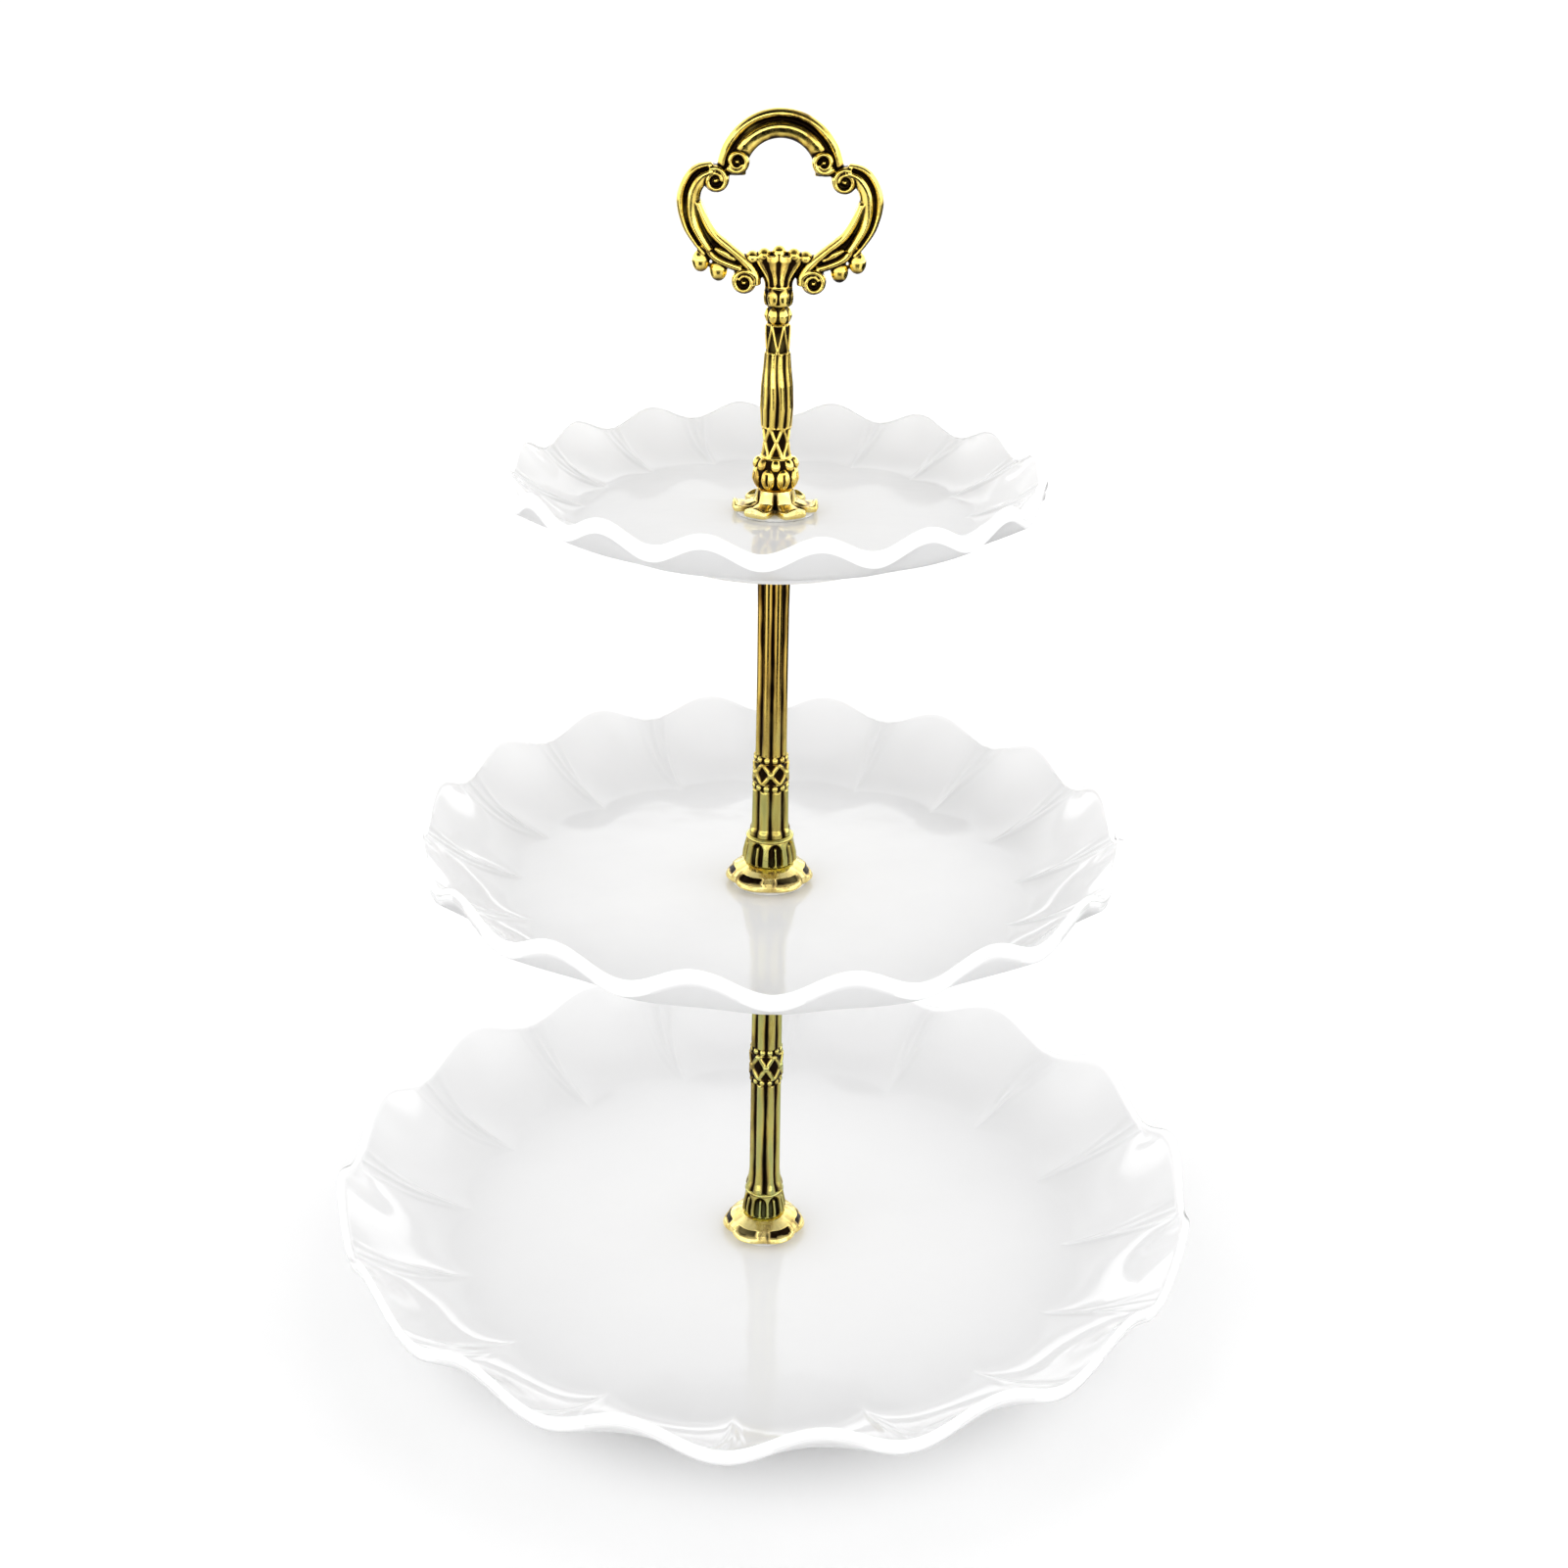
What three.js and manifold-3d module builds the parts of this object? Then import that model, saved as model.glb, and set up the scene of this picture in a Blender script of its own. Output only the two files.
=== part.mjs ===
// Three-tier cake stand: scalloped glazed plates clamped on a decorated stem, with a scrolled handle.
// Units are millimetres, +Z is up, and the origin is the centre of the bottom plate's foot, where it
// stands. The front of the stand faces -Y. Every plate has a valley of its scalloped rim at the front
// before it is turned.
import * as THREE from "three";
import { mergeVertices } from "three/addons/utils/BufferGeometryUtils.js";
import Module from "manifold-3d";

const wasm = await Module();
wasm.setup();

const TURN = 2 * Math.PI;
const AXIS_STEP = 0.1; // free space between pieces that stack on each other

// ---- Driving dimensions -------------------------------------------------------------------------

// Tiers: radius of the plate's rim, height of its well, mean height of its rim over the well, its turn on
// the stem, and the radii of the flange and collar that stand on it.
const FLOOR_OVER_FOOT = 11; // from the surface a plate's foot stands on to the top of its well
const TIERS = {
  bottom: { radius: 133, floor: FLOOR_OVER_FOOT, rim: 21.8, turnDegrees: -4.5, flange: 12.6, collar: 7 },
  middle: { radius: 103.5, floor: 135, rim: 18.9, turnDegrees: 0.8, flange: 12.6, collar: 8.2 },
  top: { radius: 75, floor: 250, rim: 12.2, turnDegrees: -2.4, flange: 11.6, collar: 6.9 },
};
const PLATE = {
  lobes: 16,
  segments: 80,
  well: 0.71, // radius of the flat well, as a share of the rim's radius
  rimWave: 0.065, // from valley to lobe tip, up and down, as a share of the rim's radius
  rimScallop: 0.006, // from valley to lobe tip, outwards, as a share of the rim's radius
  floorThickness: 4,
  rimThickness: 3,
  footRadius: 0.445, // outside, as a share of the rim's radius
  footWidth: 4,
  holeRadius: 3.6,
};

// Stem: what stacks on a plate, from its well upwards, and what it stands on below.
const GASKET = { radius: 11, thickness: 0.8 };
const FLANGE = { height: 6, petals: 6 };
const COLLAR = { height: 9, flutes: 8 };
const SEAT = { radius: 11.5, thickness: 2.6 };
const ROD = { radius: 5, reeds: 8 };
// Each long rod: radius and height of its widened foot, radius of the sleeve over that, and height of
// its leaf band.
const LOWER_ROD = { radius: 6.3, height: 4.6, sleeve: ROD.radius, band: 45 };
const MIDDLE_ROD = { radius: 6.4, height: 2.6, sleeve: ROD.radius + 0.6, band: 20 };
const THREAD = { radius: 2.5, boreRadius: 2.6, depth: 12 };
const CLEAR_BORE = THREAD.boreRadius + 0.2; // radius of a hole that a stud passes through
const HANDLE_THREAD_DEPTH = 8;
const FOOT_WASHER = { radius: 13, thickness: 1.2 };
const BOLT_HEAD = { radius: 5, height: 2.6, slotWidth: 1.2, slotDepth: 1.2 };

// Handle: a ring of scrolls. Heights are over its base, and x is given for the side that is mirrored.
const HANDLE_BASE = 308;
const HANDLE = {
  barDepth: 6,
  boss: { radius: 4.1, height: 6, boreDepth: 6.4 },
  arch: { centre: 35, radius: 13.6, width: 6.8, curl: [-11.2, 38], curlRadius: 3.6 },
  side: {
    path: [[-18, 36], [-22.2, 33.2], [-24.4, 29.4], [-24.6, 25.2], [-23.4, 21], [-21.2, 17], [-18, 14]],
    width: 6.2,
    curl: [-17, 33.6],
    curlRadius: 4.4,
  },
  foot: {
    path: [[-21.4, 25], [-19, 21], [-16.6, 17.6], [-12.4, 14.8], [-8.8, 12], [-6.6, 8.6]],
    branch: [[-18.4, 14.6], [-14, 11.8], [-9, 8]],
    width: 4,
    curl: [-9.4, 6.8],
    curlRadius: 4.2,
    buds: [[-21.4, 11], [-16.6, 9]],
    budRadius: 2.2,
  },
  palmette: { halfWidth: 7.6, top: 16, bottom: 3, depth: 5.6 },
};

// ---- Helpers ------------------------------------------------------------------------------------

/** A surface turned about +Z. The profile holds [radius, height] pairs, outside going up. */
function lathed(profile, segments) {
  const points = profile.map(([r, z]) => new THREE.Vector2(r, z));
  return new THREE.LatheGeometry(points, segments).rotateX(Math.PI / 2);
}

/** A turned ring: its profile closes on itself, away from the axis. */
function turned(profile, segments) {
  return lathed([...profile, profile[0]], segments);
}

/** Moves each vertex of a turned geometry to the [radius, height] from shape(radius, angle, height). */
function reshape(geometry, shape) {
  const position = geometry.getAttribute("position");
  for (let i = 0; i < position.count; i++) {
    const angle = Math.atan2(position.getY(i), position.getX(i));
    const radius = Math.hypot(position.getX(i), position.getY(i));
    const [r, z] = shape(radius, angle, position.getZ(i));
    position.setXYZ(i, r * Math.cos(angle), r * Math.sin(angle), z);
  }
  return geometry;
}

/** A ring with a square edge, from height bottom to top. */
function ring(innerRadius, outerRadius, bottom, top, segments = 24) {
  const profile = [[innerRadius, bottom], [outerRadius, bottom], [outerRadius, top], [innerRadius, top]];
  return turned(profile, segments);
}

/** A round bar with bevelled ends, from height bottom to top. */
function stud(radius, bottom, top) {
  const bevel = 0.5;
  const profile = [
    [0, bottom], [radius - bevel, bottom], [radius, bottom + bevel],
    [radius, top - bevel], [radius - bevel, top], [0, top],
  ];
  return lathed(profile, 16);
}

/** The manifold-3d solid of a closed geometry. */
function solidOf(geometry) {
  const bare = geometry.clone();
  bare.deleteAttribute("normal");
  bare.deleteAttribute("uv");
  const merged = mergeVertices(bare, 1e-4);
  return new wasm.Manifold(new wasm.Mesh({
    numProp: 3,
    vertProperties: merged.getAttribute("position").array,
    triVerts: new Uint32Array(merged.index.array),
  }));
}

/** The geometry of a manifold-3d solid. */
function geometryOf(solid) {
  const mesh = solid.getMesh();
  const geometry = new THREE.BufferGeometry();
  geometry.setAttribute("position", new THREE.BufferAttribute(mesh.vertProperties, 3));
  geometry.setIndex(new THREE.BufferAttribute(mesh.triVerts, 1));
  geometry.computeVertexNormals();
  return geometry;
}

const FINISHES = {
  glaze: { color: 0xf6f6f4, roughness: 0.12, metalness: 0 },
  gold: { color: 0xd9b13c, roughness: 0.18, metalness: 1 },
  steel: { color: 0xb9bcc0, roughness: 0.35, metalness: 1 },
  gasket: { color: 0xe9e9e6, roughness: 0.5, metalness: 0 },
};

/** A named piece in one of the finishes. */
function piece(name, geometry, finish) {
  const mesh = new THREE.Mesh(geometry, new THREE.MeshStandardMaterial(FINISHES[finish]));
  mesh.name = name;
  return mesh;
}

// ---- Plates -------------------------------------------------------------------------------------

/** How far out on a lobe an angle is: -0.5 in a valley and 0.5 at a lobe's tip. */
function lobeAt(angle) {
  return -Math.cos(PLATE.lobes * (angle + Math.PI / 2)) / 2;
}

/** Height of the wall over the well at a share of the way from the well's edge (0) to the rim (1). */
function wallRise(share) {
  return share ** 1.5;
}

/** A scalloped plate with its rim at a mean height over its well. Its foot stands at height 0. */
function plateGeometry(radius, rim) {
  const well = radius * PLATE.well;
  const foot = radius * PLATE.footRadius;
  const under = FLOOR_OVER_FOOT - PLATE.floorThickness;
  const half = PLATE.rimThickness / 2;
  const wall = (share, inwards, down) => [
    well + (radius - well) * share + inwards,
    FLOOR_OVER_FOOT + rim * wallRise(share) - down,
  ];
  const inside = [0.35, 0.7].map((share) => wall(share, 0, 0));
  const outside = [0.75, 0.3].map((share) => wall(share, 1.6 * share, PLATE.rimThickness));
  const profile = [
    [PLATE.holeRadius, under],
    [PLATE.holeRadius, FLOOR_OVER_FOOT],
    [well, FLOOR_OVER_FOOT],
    ...inside,
    [radius, FLOOR_OVER_FOOT + rim],
    [radius + half * 0.6, FLOOR_OVER_FOOT + rim - half],
    ...outside,
    [foot + PLATE.footWidth * 0.5, under - 1],
    [foot, 0],
    [foot - PLATE.footWidth, 0],
    [foot - PLATE.footWidth * 1.5, under],
  ].reverse();
  return reshape(turned(profile, PLATE.segments), (r, angle, z) => {
    const share = Math.max(0, (r - well) / (radius - well));
    const lobe = lobeAt(angle) * share ** 2;
    return [r + radius * PLATE.rimScallop * lobe, z + radius * PLATE.rimWave * lobe];
  });
}

function plate(name, tier) {
  const mesh = piece(name, plateGeometry(tier.radius, tier.rim), "glaze");
  mesh.position.z = tier.floor - FLOOR_OVER_FOOT;
  mesh.rotation.z = THREE.MathUtils.degToRad(tier.turnDegrees);
  return mesh;
}

// ---- Stem ---------------------------------------------------------------------------------------

/** A flower of rounded petals that spreads the clamping load on a plate. Its flat base is at height 0. */
function flangeGeometry(radius) {
  const { height, petals } = FLANGE;
  const profile = [
    [CLEAR_BORE, 0], [radius, 0], [radius, 1.6],
    [radius * 0.8, 4.2], [radius * 0.5, height], [CLEAR_BORE, height],
  ];
  return reshape(turned(profile, petals * 6), (r, angle, z) => {
    const petal = Math.abs(Math.cos((petals * angle) / 2)) - 0.6;
    const outwards = Math.max(0, (r - radius * 0.45) / (radius * 0.55));
    return [r * (1 + 0.13 * petal * outwards), z + 0.8 * petal * outwards * (z / height)];
  });
}

/** A bulb with upright flutes between a flange and a rod. Its flat base is at height 0. */
function collarGeometry(radius) {
  const { height, flutes } = COLLAR;
  const profile = [
    [CLEAR_BORE, 0], [radius * 0.74, 0], [radius, 3.4], [radius * 0.9, 6.6],
    [radius * 0.66, 8], [radius * 0.66, height], [CLEAR_BORE, height],
  ];
  return reshape(turned(profile, flutes * 4), (r, angle, z) => {
    const flute = Math.abs(Math.cos((flutes * angle) / 2));
    const bulge = Math.sin(Math.PI * Math.min(1, z / (height - 0.8)));
    return [r > radius * 0.6 ? r * (1 - 0.12 * (1 - flute) * Math.max(0, bulge)) : r, z];
  });
}

/** A reeded rod, bored for a stud at both ends. Its outline holds [height, radius] from the bottom up. */
function rodGeometry(outline, length, topBore) {
  const bore = THREAD.boreRadius;
  const outside = outline.map(([z, r]) => [r, z]);
  const profile = [
    [0, THREAD.depth + 1], [bore, THREAD.depth], [bore, 0],
    ...outside,
    [bore, length], [bore, length - topBore], [0, length - topBore - 1],
  ];
  return reshape(lathed(profile, ROD.reeds * 2), (r, angle, z) => {
    const reed = Math.abs(Math.cos((ROD.reeds * angle) / 2));
    return [r > bore + 0.5 ? r * (1 - 0.08 * (1 - reed)) : r, z];
  });
}

/** Where the pieces of one joint in the stem lie, between the rod below a plate and the rod above it. */
function jointHeights(tier) {
  const flange = tier.floor + GASKET.thickness + AXIS_STEP;
  const collar = flange + FLANGE.height + AXIS_STEP;
  const rodAbove = collar + COLLAR.height + AXIS_STEP;
  const under = tier.floor - PLATE.floorThickness;
  const gasketBelow = under - AXIS_STEP - GASKET.thickness;
  const seat = gasketBelow - AXIS_STEP - SEAT.thickness;
  return { flange, collar, rodAbove, gasketBelow, seat, rodBelow: seat - AXIS_STEP };
}

const JOINTS = {
  bottom: jointHeights(TIERS.bottom),
  middle: jointHeights(TIERS.middle),
  top: jointHeights(TIERS.top),
};

/** The gaskets, flange and collar that clamp a plate. */
function clampPieces(name, tier, joint) {
  const gasket = (bottom) => ring(CLEAR_BORE, GASKET.radius, bottom, bottom + GASKET.thickness);
  const flange = piece(`${name}_flange`, flangeGeometry(tier.flange), "gold");
  flange.position.z = joint.flange;
  const collar = piece(`${name}_collar`, collarGeometry(tier.collar), "gold");
  collar.position.z = joint.collar;
  return [
    piece(`${name}_gasket_above`, gasket(tier.floor + AXIS_STEP / 2), "gasket"),
    piece(`${name}_gasket_below`, gasket(joint.gasketBelow), "gasket"),
    flange,
    collar,
  ];
}

/** A shallow metal cup on top of a rod, on which a plate rests. */
function seatPiece(name, joint) {
  const { radius, thickness } = SEAT;
  const profile = [
    [CLEAR_BORE, 0], [ROD.radius + 1, 0], [radius, thickness - 0.8],
    [radius, thickness], [CLEAR_BORE, thickness],
  ];
  const mesh = piece(name, turned(profile, 24), "gold");
  mesh.position.z = joint.seat;
  return mesh;
}

/** A long reeded rod: a flare at its foot, a sleeve up to a leaf band, and a slimmer rod over that. */
function longRod(name, bottom, top, { radius, height, sleeve, band }) {
  const length = top - bottom;
  const slim = ROD.radius;
  const outline = [
    [0, radius], [1.2, radius], [height, sleeve],
    [band - 6, sleeve], [band - 3.5, sleeve + 0.5], [band, sleeve - 0.2],
    [band + 3.5, sleeve + 0.4], [band + 6, slim - 0.1], [(band + length) / 2, slim - 0.4],
    [length - 3, slim + 0.2], [length, slim + 0.4],
  ];
  const mesh = piece(name, rodGeometry(outline, length, THREAD.depth), "gold");
  mesh.position.z = bottom;
  return mesh;
}

/** The short baluster between the top plate and the handle. */
function upperRod(bottom, top) {
  const length = top - bottom;
  const outline = [
    [0, 4.3], [2, 3.7], [5, 3.9], [8, 3.7], [9.6, 4.0], [14, 4.5], [20, 4.4], [26, 3.8], [29, 3.6],
    [31, 3.4], [34, 3.5], [35.2, 3.1], [37.5, 3.7], [40, 3.7], [length - 0.6, 3.2], [length, 3.4],
  ];
  const mesh = piece("upper_rod", rodGeometry(outline, length, HANDLE_THREAD_DEPTH + 1), "gold");
  mesh.position.z = bottom;
  return mesh;
}

/** The pan-headed bolt that holds the stem from under the bottom plate, with a straight slot. */
function footBolt(headTop, threadTop) {
  const { radius, height, slotWidth, slotDepth } = BOLT_HEAD;
  const bottom = headTop - height;
  const bevel = 1.2;
  const profile = [
    [0, bottom], [radius - bevel, bottom], [radius, bottom + bevel], [radius, headTop],
    [THREAD.radius, headTop], [THREAD.radius, threadTop - 0.5],
    [THREAD.radius - 0.5, threadTop], [0, threadTop],
  ];
  const body = solidOf(lathed(profile, 28));
  const slot = new THREE.BoxGeometry(radius * 3, slotWidth, slotDepth * 2).translate(0, 0, bottom);
  return piece("foot_bolt", geometryOf(body.subtract(solidOf(slot))), "steel");
}

// ---- Handle -------------------------------------------------------------------------------------

/** An oval bar along a smooth curve through [x, z] points in the plane of the ring. */
function bar(points, width, depth, steps) {
  const curve = new THREE.CatmullRomCurve3(points.map(([x, z]) => new THREE.Vector3(x, 0, z)));
  const section = new THREE.Shape().absellipse(0, 0, depth / 2, width / 2, 0, TURN);
  return solidOf(new THREE.ExtrudeGeometry(section, { steps, extrudePath: curve, curveSegments: 4 }));
}

/** A rounded button at [x, z] in the plane of the ring. */
function knob(x, z, radius, depth) {
  return solidOf(new THREE.SphereGeometry(1, 8, 6).scale(radius, depth / 2, radius).translate(x, 0, z));
}

/** The curls at the ends of the arch, of the side scrolls and of the strands that reach the boss. */
function volutes() {
  const { barDepth, arch, side, foot } = HANDLE;
  return [
    knob(arch.curl[0], arch.curl[1], arch.curlRadius, barDepth),
    knob(side.curl[0], side.curl[1], side.curlRadius, barDepth),
    knob(foot.curl[0], foot.curl[1], foot.curlRadius, barDepth),
    ...foot.buds.map(([x, z]) => knob(x, z, foot.budRadius, barDepth * 0.7)),
  ];
}

/** The fan of leaf that rises from the boss between the two foot curls, with three lobes along its top. */
function palmette() {
  const { halfWidth, top, bottom, depth } = HANDLE.palmette;
  const outline = new THREE.Shape();
  outline.moveTo(-halfWidth * 0.5, bottom);
  outline.lineTo(halfWidth * 0.5, bottom);
  outline.lineTo(halfWidth, top - 2.6);
  outline.quadraticCurveTo(halfWidth * 0.8, top, halfWidth * 0.45, top - 1);
  outline.quadraticCurveTo(0, top + 1, -halfWidth * 0.45, top - 1);
  outline.quadraticCurveTo(-halfWidth * 0.8, top, -halfWidth, top - 2.6);
  const leaf = new THREE.ExtrudeGeometry(outline, { depth, bevelEnabled: false, curveSegments: 3 });
  return solidOf(leaf.translate(0, 0, -depth / 2).rotateX(Math.PI / 2));
}

/** The scrolled ring, upright in the XZ plane, on a round boss that is bored for its stud. */
function handleGeometry() {
  const { arch, side, foot, barDepth, boss } = HANDLE;
  const archPath = [];
  for (let degrees = -15; degrees <= 195; degrees += 15) {
    const angle = THREE.MathUtils.degToRad(degrees);
    archPath.push([arch.radius * Math.cos(angle), arch.centre + arch.radius * Math.sin(angle)]);
  }
  const half = wasm.Manifold.union([
    bar(side.path, side.width, barDepth, 12),
    bar(foot.path, foot.width, barDepth, 10),
    bar(foot.branch, foot.width, barDepth * 0.8, 4),
    ...volutes(),
  ]);
  const bossShape = new THREE.CylinderGeometry(boss.radius, boss.radius, boss.height, 24)
    .rotateX(Math.PI / 2).translate(0, 0, boss.height / 2);
  const bore = new THREE.CylinderGeometry(THREAD.boreRadius, THREAD.boreRadius, 2 * boss.boreDepth, 16)
    .rotateX(Math.PI / 2);
  const whole = wasm.Manifold.union([
    bar(archPath, arch.width, barDepth, 20),
    half,
    half.mirror([1, 0, 0]),
    palmette(),
    solidOf(bossShape),
  ]);
  return geometryOf(whole.subtract(solidOf(bore)));
}

// ---- Assembly -----------------------------------------------------------------------------------

const stand = new THREE.Group();

stand.add(plate("bottom_plate", TIERS.bottom));
stand.add(plate("middle_plate", TIERS.middle));
stand.add(plate("top_plate", TIERS.top));

stand.add(...clampPieces("bottom", TIERS.bottom, JOINTS.bottom));
stand.add(...clampPieces("middle", TIERS.middle, JOINTS.middle));
stand.add(...clampPieces("top", TIERS.top, JOINTS.top));
stand.add(seatPiece("middle_seat", JOINTS.middle));
stand.add(seatPiece("top_seat", JOINTS.top));

stand.add(longRod("lower_rod", JOINTS.bottom.rodAbove, JOINTS.middle.rodBelow, LOWER_ROD));
stand.add(longRod("middle_rod", JOINTS.middle.rodAbove, JOINTS.top.rodBelow, MIDDLE_ROD));
stand.add(upperRod(JOINTS.top.rodAbove, HANDLE_BASE - AXIS_STEP));

const reach = THREAD.depth - 0.5;
const studBetween = (joint) => stud(THREAD.radius, joint.rodBelow - reach, joint.rodAbove + reach);
stand.add(piece("lower_stud", studBetween(JOINTS.middle), "steel"));
stand.add(piece("upper_stud", studBetween(JOINTS.top), "steel"));
const handleStud = stud(THREAD.radius, HANDLE_BASE - HANDLE_THREAD_DEPTH, HANDLE_BASE + HANDLE.boss.height);
stand.add(piece("handle_stud", handleStud, "steel"));

const washerTop = JOINTS.bottom.gasketBelow - AXIS_STEP;
const washerBottom = washerTop - FOOT_WASHER.thickness;
stand.add(piece("foot_washer", ring(CLEAR_BORE, FOOT_WASHER.radius, washerBottom, washerTop), "steel"));
stand.add(footBolt(washerBottom - AXIS_STEP, JOINTS.bottom.rodAbove + reach));

const handle = piece("handle_ring", handleGeometry(), "gold");
handle.position.z = HANDLE_BASE;
stand.add(handle);

export default stand;
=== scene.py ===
import math

import bmesh
import bpy
import numpy as np
from mathutils import Matrix, Vector


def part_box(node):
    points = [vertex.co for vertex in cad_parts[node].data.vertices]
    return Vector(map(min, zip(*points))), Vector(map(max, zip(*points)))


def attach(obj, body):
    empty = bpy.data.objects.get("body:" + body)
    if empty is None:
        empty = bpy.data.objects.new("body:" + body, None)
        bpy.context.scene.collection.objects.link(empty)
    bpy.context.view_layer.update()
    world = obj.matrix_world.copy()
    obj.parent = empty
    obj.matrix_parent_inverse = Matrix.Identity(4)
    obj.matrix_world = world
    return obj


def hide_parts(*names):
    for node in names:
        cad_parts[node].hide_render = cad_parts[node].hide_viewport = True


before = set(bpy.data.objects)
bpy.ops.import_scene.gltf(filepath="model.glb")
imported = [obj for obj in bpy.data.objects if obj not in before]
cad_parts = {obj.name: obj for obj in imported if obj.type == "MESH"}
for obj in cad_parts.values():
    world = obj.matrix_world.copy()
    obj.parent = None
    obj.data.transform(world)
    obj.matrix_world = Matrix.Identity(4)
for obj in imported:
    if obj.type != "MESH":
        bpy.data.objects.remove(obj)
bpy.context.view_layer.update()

MM = 0.001
TURN = 2 * math.pi
FRONT = -math.pi / 2

# ---- Driving dimensions ----

# The plates, as in the CAD part. WELL, RIM_WAVE, RIM_SCALLOP and FOOT_SHARE are shares of the rim's radius.
LOBES = 16
WELL = 0.71
RIM_WAVE = 0.065
RIM_SCALLOP = 0.006
RIM_THICKNESS = 3.0
WALL_POWER = 1.5  # the wall rises by its share of the way out to this power
FLOOR_OVER_FOOT = 11.0
FLOOR_THICKNESS = 4.0
FOOT_SHARE = 0.445
FOOT_WIDTH = 4.0
HOLE_RADIUS = 3.6

# The tiers. Heights come from the CAD nodes, and the turns are in degrees.
TIERS = {
    "bottom": {"body": "base", "radius": 133.0, "rim": 21.8, "turn": -4.5},
    "middle": {"body": "middle_tier", "radius": 103.5, "rim": 18.9, "turn": 0.8},
    "top": {"body": "top_tier", "radius": 75.0, "rim": 12.2, "turn": -2.4},
}
BEAD_RADIUS = 1.05  # of the round lip along a plate's rim
COLUMNS_PER_LOBE = 42
USUAL_RIM = 20.0  # the rim height at which scoops and ribs have their full depth
SCOOP_DEPTH = {"inside": 1.1, "outside": 0.7}  # of the hollow petal between two creases
CREASE_RIBS = {-1: 1.0, 0: 0.6, 1: 0.85}  # place across a crease and strength of each rib
RIB_WIDTH = 0.75
RIB_HEIGHT = 0.30
CREASE_DEPTH = 0.26

# The stem
THREAD_RADIUS = 2.5
THREAD_PITCH = 0.8
BORE_RADIUS = 2.6
WASHER_BORE = 2.7
GASKET = {"radius": 11.0, "thickness": 0.8}
FOOT_WASHER = {"radius": 13.0, "thickness": 1.2}
ROD_BORE_DEPTH = 12.0
HANDLE_BORE_DEPTH = {"rod": 9.0, "handle": 6.4}
REEDS = 8  # round the two long rods
PETALS = 6  # of each flange
ARCHES = 8  # round each collar
BORE_SHADE = 0.9  # painted shade inside a bore

# Outlines of the rods, as (height, radius), and the lowest and highest point of their lattice bands
LOWER_ROD = [(0, 6.3), (1.0, 6.1), (3.0, 5.4), (6.0, 5.1), (38, 5.0), (41, 5.4), (49, 5.4), (52, 5.0),
             (100.2, 4.9)]
LOWER_LATTICE = (41.0, 49.4)
MIDDLE_ROD = [(0, 6.4), (1.2, 6.3), (2.4, 5.8), (16, 5.6), (24, 5.4), (26.2, 4.9), (50, 4.75), (70, 4.8),
              (91.2, 5.1)]
MIDDLE_LATTICE = (16.8, 23.4)
UPPER_ROD = [(0, 4.4), (1.5, 4.0), (7.5, 3.9), (8.6, 4.3), (14, 4.65), (20, 4.45), (25, 3.9), (29.6, 3.55),
             (36.4, 3.5), (37, 3.2), (37.6, 3.5), (39.4, 3.85), (41.2, 3.5), (41.8, 3.1)]

# The handle's +X side, as [x, z] over its base
HANDLE_DEPTH = 6.0
HANDLE_VOXEL = 0.28
ARCH = {"centre": 35.0, "radius": 13.1, "width": 7.8}
ARCH_VOLUTE = {"centre": (11.5, 38.2), "radius": 3.9}
SIDE_VOLUTE = {"centre": (17.2, 33.2), "radius": 4.2}
FOOT_VOLUTE = {"centre": (9.4, 6.4), "radius": 4.2}
SIDE_PATH = [(17.6, 36.2), (21.4, 34.6), (24.0, 30.9), (24.6, 26.0), (23.8, 21.6), (21.6, 17.6),
             (19.2, 14.4)]
INNER_PATH = [(22.0, 27.4), (20.3, 23.4), (17.6, 19.0), (13.4, 15.4), (9.4, 12.0), (6.6, 8.6), (6.2, 5.6)]
LOWER_PATH = [(20.6, 16.4), (17.4, 12.8), (13.2, 10.9), (10.2, 10.0)]
WEB_PATH = [(22.4, 24.6), (20.6, 20.4), (18.6, 17.6), (16.0, 15.2), (12.6, 12.8), (9.6, 10.4)]
BEAN_PATH = [(17.4, 15.4), (14.6, 13.9), (11.8, 12.3)]
BUDS = [(21.2, 11.8, 2.4), (16.4, 9.4, 2.4)]  # x, z and radius
CROWN = [(0.0, 14.2, 2.0), (4.0, 13.6, 1.9), (7.2, 12.9, 1.9)]

# The camera, in metres
CAMERA = {"place": (0, -0.6172, 0.4269), "target": (0, 0, 0.1665), "roll": 0.016}
CAMERA_LENS = {"sensor_width": 36, "lens": 51.83, "shift_x": 0.0085}

# Area lights: name, place in metres, size in metres and power in watts
LIGHTS = [
    ("key_left", (-1.2, -0.7, 1.3), 0.9, 1.6),
    ("fill_right", (1.3, -0.3, 1.1), 0.9, 1.2),
    ("top_back", (0.2, 1.2, 1.5), 1.2, 1.2),
]
LIGHT_TARGET = (0, 0, 0.15)

# Dark wedges on the floor that the gilt mirrors: angles in degrees from +X, and radii in metres
FLAG_WEDGES = {
    "flag_front": (-118, -62),
    "flag_right": (-22, 30),
    "flag_back": (32, 92),
    "flag_left": (138, 185),
}
WEDGE_REACH = (0.15, 4.0)
# Grey cards all round the stand, in metres, at the height that the top plate's well mirrors
CARD_RING = {"cards": 24, "radius": 3.0, "bottom": 0.87, "top": 1.42, "tone": 1.25}
# Strength of the studio's white surroundings, level with the stand and overhead
HORIZON_LIGHT = 3.25
ZENITH_LIGHT = 0.05


# ---- Shaping helpers ----

def smooth(low, high, value):
    """0 below low, 1 above high and an even S between them."""
    t = np.clip((value - low) / (high - low), 0.0, 1.0)
    return t * t * (3 - 2 * t)


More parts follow.
